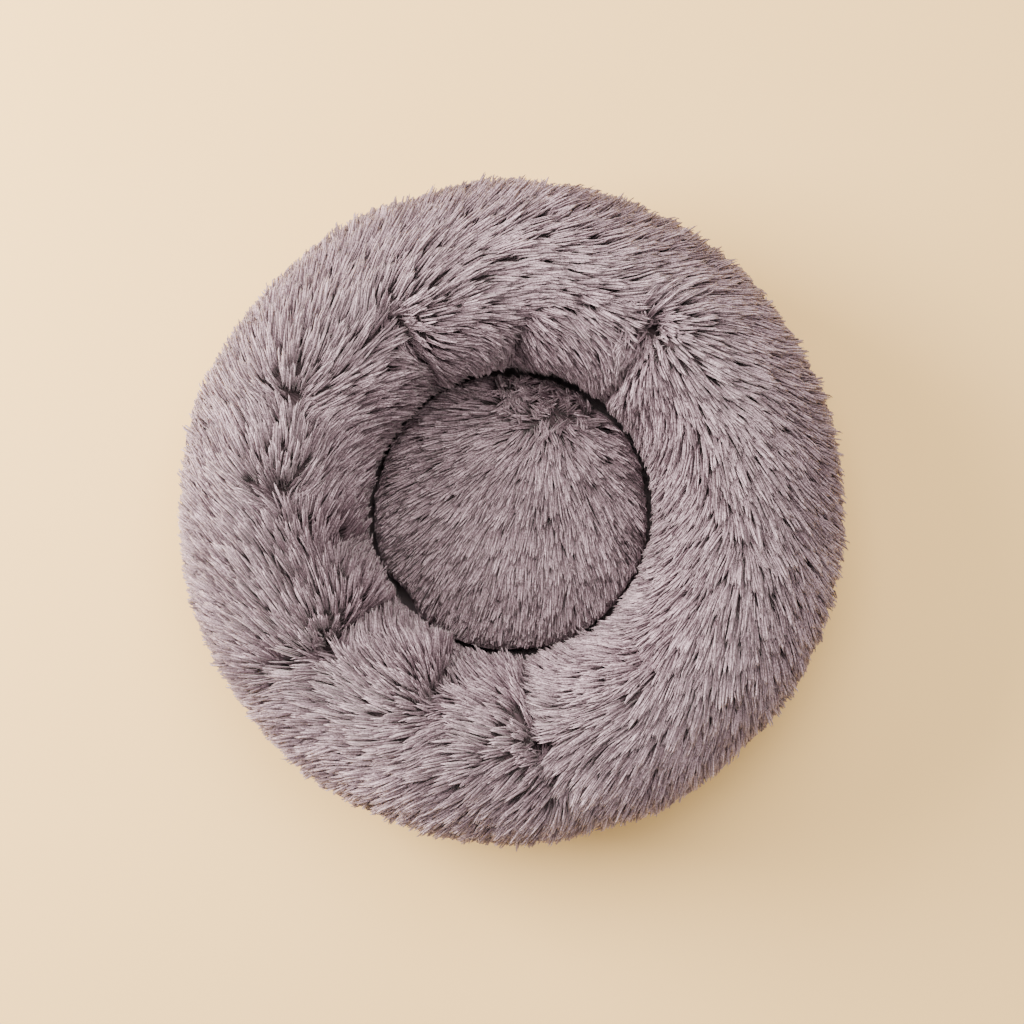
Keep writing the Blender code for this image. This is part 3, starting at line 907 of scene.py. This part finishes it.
# %% Fur on the ring
rng = np.random.default_rng(SEED + 1)
lines, ups, widths, tones, at = grow(ring, RING_TUFTS, rng, on_ring, ring_flow, ring_length, ring_lean,
                                     ring_guard)
# Painted light and shade: the patches lighten and darken the locks' tones.
tones = np.clip(tones + painted_ring_light_and_shade(at), 0, 1)
order = np.argsort(np.arctan2(at[:, 1], at[:, 0]), kind="stable")
sectors = int(np.ceil(len(order) / MOST_LOCKS))
for number, part in enumerate(np.array_split(order, sectors), 1):
    lock_mesh(f"ring_fur_{number}", lines[part], ups[part], widths[part], tones[part], "rim")
print("Ring fur:", len(order), "locks in", sectors, "pieces")

# %% [markdown]
# ## The cushion's coat
# The cushion's fur is the same plush. It is shorter and rougher in the patch that rubs on the ring, and a
# little darker in that patch; painted shade darkens the edge that tucks under the ring's fur.

# %% Fur on the cushion
CUSHION_TUFTS = 2400
CUSHION_REACH = 126.5 * MM
# Where the cushion's edge is darkened with painted shade, under the ring's fur:
PAINTED_SHADE_EDGE = (0, 124, 34)  # angle in degrees, radius and spread in millimetres


def on_cushion(middle):
    """Where fur grows on the cushion: down to just below its seam."""
    return (middle[:, 2] > CUSHION_SEAM - 4 * MM).astype(float)


def cushion_length(at):
    """Lock length on the cushion: shorter where it is ruffled."""
    return (30 - 12 * ruffled(at)) * MM


def cushion_lean(at, up):
    """The cushion's edge locks stand off a little, towards the ring, and the ruffled ones stand up."""
    return radians(5) * np.clip(sideways(at, up), 0, 1) + radians(16) * ruffled(at)


def cushion_guard(lines):
    """Keeps the cushion's fur inside the nest."""
    radius = np.hypot(lines[..., 0], lines[..., 1])
    angle = np.degrees(np.arctan2(lines[..., 1], lines[..., 0]))
    reach = CUSHION_REACH - groove(angle) + waves(lines[:, 0], ragged_rng, 8, 0.010, 1.5 * MM)[:, None]
    over = radius - (reach - 5 * MM)
    kept = np.where(over > 0, reach - 5 * MM + 0.6 * over, radius)
    kept = np.minimum(kept, np.minimum(reach, CUSHION_REACH))
    lines[..., :2] *= (kept / np.maximum(radius, 1e-9))[..., None]
    lines[..., 2] = np.maximum(lines[..., 2], 6 * MM)
    return lines


lines, ups, widths, tones, at = grow(pillow, CUSHION_TUFTS, rng, on_cushion, cushion_flow, cushion_length,
                                     cushion_lean, cushion_guard)
# Painted shade darkens the cushion's edge under the ring's fur; the ruffled patch is also made a little
# darker.
tones = np.clip(tones - 0.10 * ruffled(at) - 0.34 * near(at[:, :2], *PAINTED_SHADE_EDGE), 0, 1)
lock_mesh("cushion_fur", lines, ups, widths, tones, "cushion")
print("Cushion fur:", len(lines), "locks")

# %% [markdown]
# ## The base and its grip
# The bed stands on a round panel of Oxford cloth, coated below with rows of soft dots so that it does not
# slide. The panel is a flat disc with a rounded edge. One dot is a low drum with a bevelled rim, and its
# copies stand in staggered rows under the cloth.

# %% Base panel
DOT_HEIGHT = 0.5 * MM
low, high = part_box("base_panel")
PANEL_RADIUS = high[0]


def disc(name, radius, bottom, top, edge, rings):
    """A flat cloth disc with a rounded edge, and rings of faces so that it can ripple."""
    settle()
    bpy.ops.mesh.primitive_cylinder_add(vertices=144, radius=radius, depth=top - bottom,
                                        location=(0, 0, (top + bottom) / 2))
    made = bpy.context.object
    made.name = name
    bpy.ops.object.transform_apply(location=True)
    for shape in ("bevel", "inset"):
        for part in (*made.data.polygons, *made.data.edges, *made.data.vertices):
            part.select = False
        for face in made.data.polygons:
            face.select = len(face.vertices) > 4
        bpy.ops.object.mode_set(mode="EDIT")
        bpy.ops.mesh.select_mode(type="FACE")
        if shape == "bevel":
            bpy.ops.mesh.bevel(offset=edge, segments=2, affect="EDGES")
        else:
            for _ in range(rings):
                bpy.ops.mesh.inset(thickness=radius / (rings + 1), use_individual=True)
        bpy.ops.object.mode_set(mode="OBJECT")
    return made


panel = disc("base_panel_cloth", PANEL_RADIUS - 0.1 * MM, DOT_HEIGHT, high[2], 0.3 * MM, 5)
dress(panel, oxford, "rim", ["base_panel"])
print("Base panel:", len(panel.data.polygons), "faces")

# %% Grip dots
DOT_RADIUS = 1.7 * MM
DOT_SPACING = 16 * MM
DOT_MARGIN = 6 * MM
settle()
bpy.ops.mesh.primitive_cylinder_add(vertices=10, radius=DOT_RADIUS, depth=2 * DOT_HEIGHT,
                                    location=(0, 0, DOT_HEIGHT), end_fill_type="NGON")
dot = bpy.context.object
bpy.ops.object.transform_apply(location=True)
edit_all()
bpy.ops.mesh.bevel(offset=0.25 * MM, segments=1, affect="EDGES")
settle()


def copies(pattern, name, matrices):
    """One mesh with a copy of a pattern object at each 4 x 4 matrix. The pattern is used up."""
    moved = np.einsum("nij,pj->npi", matrices[:, :3, :3], places(pattern)) + matrices[:, None, :3, 3]
    made = repeated(name, moved, [tuple(face.vertices) for face in pattern.data.polygons])
    bpy.data.objects.remove(pattern)
    return made


rows = int(PANEL_RADIUS / DOT_SPACING) + 2
spots = []
for row in range(-rows, rows + 1):
    for column in range(-rows, rows + 1):
        x = (column + 0.5 * (row % 2)) * DOT_SPACING
        y = row * DOT_SPACING * 0.866
        if np.hypot(x, y) < PANEL_RADIUS - DOT_MARGIN:
            spots.append((x, y))
matrices = np.tile(np.eye(4), (len(spots), 1, 1))
matrices[:, :2, 3] = spots
dots = copies(dot, "base_grip_dots", matrices)
# Soft PVC plastisol, printed and cured: smooth, a little glossy, slightly uneven in tone.
grip = patterned("cured_pvc_dots", "#1d1a1c", "#2e2a2c", "TexNoise", {"Scale": 1 / (4 * MM)},
                 {"Roughness": 0.42})
dress(dots, grip, "rim")
print("Grip dots:", len(spots))

# %% [markdown]
# ## The nest's floor
# A lining of plain cloth closes the nest below the cushion. It is the same kind of disc, with a ripple of a
# tenth of a millimetre, since cloth that is only sewn at its edge is never quite flat.

# %% Nest floor
RIPPLE = 0.1 * MM
low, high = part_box("nest_floor")
nest_floor = disc("nest_floor_cloth", high[0] - 0.1 * MM, low[2] + RIPPLE, high[2] - RIPPLE, 0.25 * MM, 8)
points = places(nest_floor)
points[:, 2] += np.clip(waves(points, rng, 8, 0.06, 0.06 * MM), -RIPPLE, RIPPLE)
put_places(nest_floor, points)
dress(nest_floor, plain_cloth, "rim", ["nest_floor"])
print("Nest floor:", len(nest_floor.data.polygons), "faces")

# %% [markdown]
# ## Binding, tapes and zip
# The base's edge is bound with tape, and a coil zip runs above it round the back left. Tape is a flat band
# that keeps its CAD shape, with its edges rounded as woven tape's are. The slider, its pull and the stops
# are small nickel-plated castings, whose edges are never sharp. A weighted normal keeps their flats flat.

# %% Pieces that keep their CAD shape, with rounded edges
TAPE_EDGE = 0.2 * MM


def rounded(node, name, finish, body, edge, segments=2):
    """A welded copy of a CAD node with its edges rounded, standing for the node."""
    made = fresh_copy(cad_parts[node], name)
    use_only(made)
    edit_all()
    bpy.ops.mesh.remove_doubles(threshold=1e-6)
    use_only(made)
    soft = made.modifiers.new("soft_edges", "BEVEL")
    soft.width = edge
    soft.segments = segments
    soft.limit_method = "ANGLE"
    soft.angle_limit = radians(40)
    bpy.ops.object.modifier_apply(modifier=soft.name)
    dress(made, finish, body, [node])
    flats = made.modifiers.new("flat_faces_look_flat", "WEIGHTED_NORMAL")
    flats.keep_sharp = True
    bpy.ops.object.modifier_apply(modifier=flats.name)
    print(name, len(made.data.polygons), "faces")


rounded("base_binding", "base_binding_tape", sewing_tape, "rim", 1.1 * MM, 3)
rounded("gather_tape", "gathering_tape", sewing_tape, "rim", TAPE_EDGE)
for side in ("lower", "upper"):
    rounded("zip_tape_" + side, f"zip_{side}_tape", sewing_tape, "rim", TAPE_EDGE)

# Nickel plate over die-cast zinc: a warm grey mirror, dulled by handling into a soft satin.
nickel, tree = new_finish("nickel_plated_casting")
where = add(tree, "TexCoord")
rubbed = add(tree, "TexNoise", {"Vector": where.outputs["Object"], "Scale": 1 / (1.5 * MM), "Detail": 4.0})
dull = add(tree, "MapRange", {"Value": rubbed.outputs["Fac"], "To Min": 0.22, "To Max": 0.40})
in_two_tones(tree, rubbed.outputs["Fac"], "#b3aea6", "#d3cec6",
             {"Metallic": 1.0, "Roughness": dull.outputs["Result"]})
rounded("zip_slider", "zip_slider_casting", nickel, "zip_slider", 0.12 * MM)
rounded("zip_pull", "zip_pull_tab", nickel, "zip_pull", 0.18 * MM)
for stop in ("zip_top_stop_upper", "zip_top_stop_lower", "zip_bottom_stop"):
    rounded(stop, stop.replace("zip", "crimped"), nickel, "rim", 0.25 * MM)

# %% [markdown]
# ## Coils and stitches
# A coil zip's two halves are monofilament wound into loops that hook into each other. One loop is modelled
# and copied round the arc, with the upper half a quarter of a pitch further on. The tapes are sewn on with
# lockstitch, which is one short thread, copied in the same way.

# %% Zip coils
LOOP_PITCH = 1.5 * MM
WIRE = 0.32 * MM
# Nylon monofilament, dyed dark: smooth and slightly glossy, with a thin clear coat of finish.
nylon = patterned("dyed_nylon_monofilament", "#4a3f44", "#5f5258", "TexNoise", {"Scale": 1 / (8 * MM)},
                  {"Roughness": 0.32, "IOR": 1.53, "Coat Weight": 0.2})


def band(node):
    """Radii, turns and heights of the points of a CAD node that is bent round the bed."""
    points = places(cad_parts[node])
    return np.hypot(points[:, 0], points[:, 1]), np.arctan2(points[:, 1], points[:, 0]), points[:, 2]


def round_the_arc(turns, radius, pitch, first, height, proud=0.0):
    """Matrices that stand a pattern at even steps along an arc, turned with it."""
    count = int((turns.max() - turns.min()) * radius / pitch) - 1
    at = turns.min() + (np.arange(count) + first) * pitch / radius
    matrices = np.tile(np.eye(4), (count, 1, 1))
    matrices[:, 0, 0] = matrices[:, 1, 1] = np.cos(at)
    matrices[:, 1, 0] = np.sin(at)
    matrices[:, 0, 1] = -np.sin(at)
    matrices[:, 0, 3] = (radius + proud) * np.cos(at)
    matrices[:, 1, 3] = (radius + proud) * np.sin(at)
    matrices[:, 2, 3] = height
    return matrices


def coil_loop(deep, wide):
    """One loop of the coil's wire, seen end on: a ring drawn out to the coil's depth and width."""
    settle()
    bpy.ops.mesh.primitive_torus_add(major_segments=10, minor_segments=4, major_radius=wide / 2 - WIRE,
                                     minor_radius=WIRE, rotation=(pi / 2, 0, 0))
    loop = bpy.context.object
    bpy.ops.object.transform_apply(rotation=True)
    edit_all()
    bpy.ops.transform.resize(value=(deep / wide, 1, 1))
    settle()
    return loop


for half, first in (("upper", 0.75), ("lower", 0.5)):
    radii, turns, heights = band("zip_coil_" + half)
    low_z, high_z = heights.min(), heights.max()
    matrices = round_the_arc(turns, (radii.min() + radii.max()) / 2, LOOP_PITCH, first, (low_z + high_z) / 2)
    coil = copies(coil_loop(radii.max() - radii.min(), high_z - low_z), f"zip_{half}_coil", matrices)
    dress(coil, nylon, "rim", ["zip_coil_" + half])
    print("Coil", half, len(matrices), "loops")

# %% Stitches along the zip tapes
# Each is 2.4 mm long, with small gaps, a short way in from the tape's outer edge.
STITCH = 2.4 * MM
STITCH_PITCH = 3.2 * MM
THREAD_RADIUS = 0.2 * MM
# Spun polyester: two or three plies twisted together, so light and dark run slantwise along the thread.
thread = patterned("spun_polyester_thread", "#6f6267", "#9f9197", "TexWave", {"Scale": WAVE / (0.5 * MM)},
                   {"Roughness": 0.5, "Sheen Weight": 0.2}, bands_direction="DIAGONAL")
for side in ("lower", "upper"):
    radii, turns, heights = band("zip_tape_" + side)
    height = heights.min() + 2.0 * MM if side == "lower" else heights.max() - 2.4 * MM
    settle()
    bpy.ops.mesh.primitive_cylinder_add(vertices=6, radius=THREAD_RADIUS, depth=STITCH,
                                        rotation=(pi / 2, 0, 0))
    stitch = bpy.context.object
    bpy.ops.object.transform_apply(rotation=True)
    edit_all()
    bpy.ops.mesh.bisect(plane_co=(0, 0, 0), plane_no=(0, 1, 0))
    settle()
    matrices = round_the_arc(turns, radii.max(), STITCH_PITCH, 1, height, proud=0.05 * MM)
    dress(copies(stitch, "stitches_" + side, matrices), thread, "rim")
    print("Stitches", side, len(matrices))

# %% [markdown]
# ## The care label
# A short satin ribbon is caught in the base seam at the front right and lies out on the floor. It is
# blank here. A small grid, lifted a little towards its free end and given a ribbon's thickness, keeps it
# from looking like a plate.

# %% Care label
low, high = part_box("care_label")
LABEL_TURN = radians(-62)
LABEL_WIDTH = 28 * MM
LABEL_LENGTH = 20 * MM
LABEL_STARTS = 0.2702  # the radius where it leaves the seam
LABEL_LIFT = 1.6 * MM
settle()
bpy.ops.mesh.primitive_grid_add(x_subdivisions=16, y_subdivisions=20, size=1.0)
label = bpy.context.object
label.name = "satin_label"
points = places(label)
reach = points[:, 0] + 0.5
x = LABEL_STARTS + reach * (LABEL_LENGTH - 0.4 * MM)
y = points[:, 1] * LABEL_WIDTH
z = low[2] + 0.35 * MM + LABEL_LIFT * reach ** 3 + 0.25 * MM * reach * np.sin(points[:, 1] * 2 * pi)
put_places(label, np.stack([x * cos(LABEL_TURN) - y * sin(LABEL_TURN),
                            x * sin(LABEL_TURN) + y * cos(LABEL_TURN), z], 1))
use_only(label)
ribbon = label.modifiers.new("ribbon_thickness", "SOLIDIFY")
ribbon.thickness = 0.3 * MM
ribbon.offset = 0.0
bpy.ops.object.modifier_apply(modifier=ribbon.name)

# Satin ribbon: long floats of bright yarn that all lie one way, so it is smooth with a silky sheen.
satin = patterned("polyester_satin_ribbon", "#dcd8d1", "#efebe5", "TexWave", {"Scale": WAVE / (0.8 * MM)},
                  {"Roughness": 0.38, "Sheen Weight": 0.3}, bands_direction="DIAGONAL")
dress(label, satin, "rim", ["care_label"])
print("Label:", len(label.data.polygons), "faces")
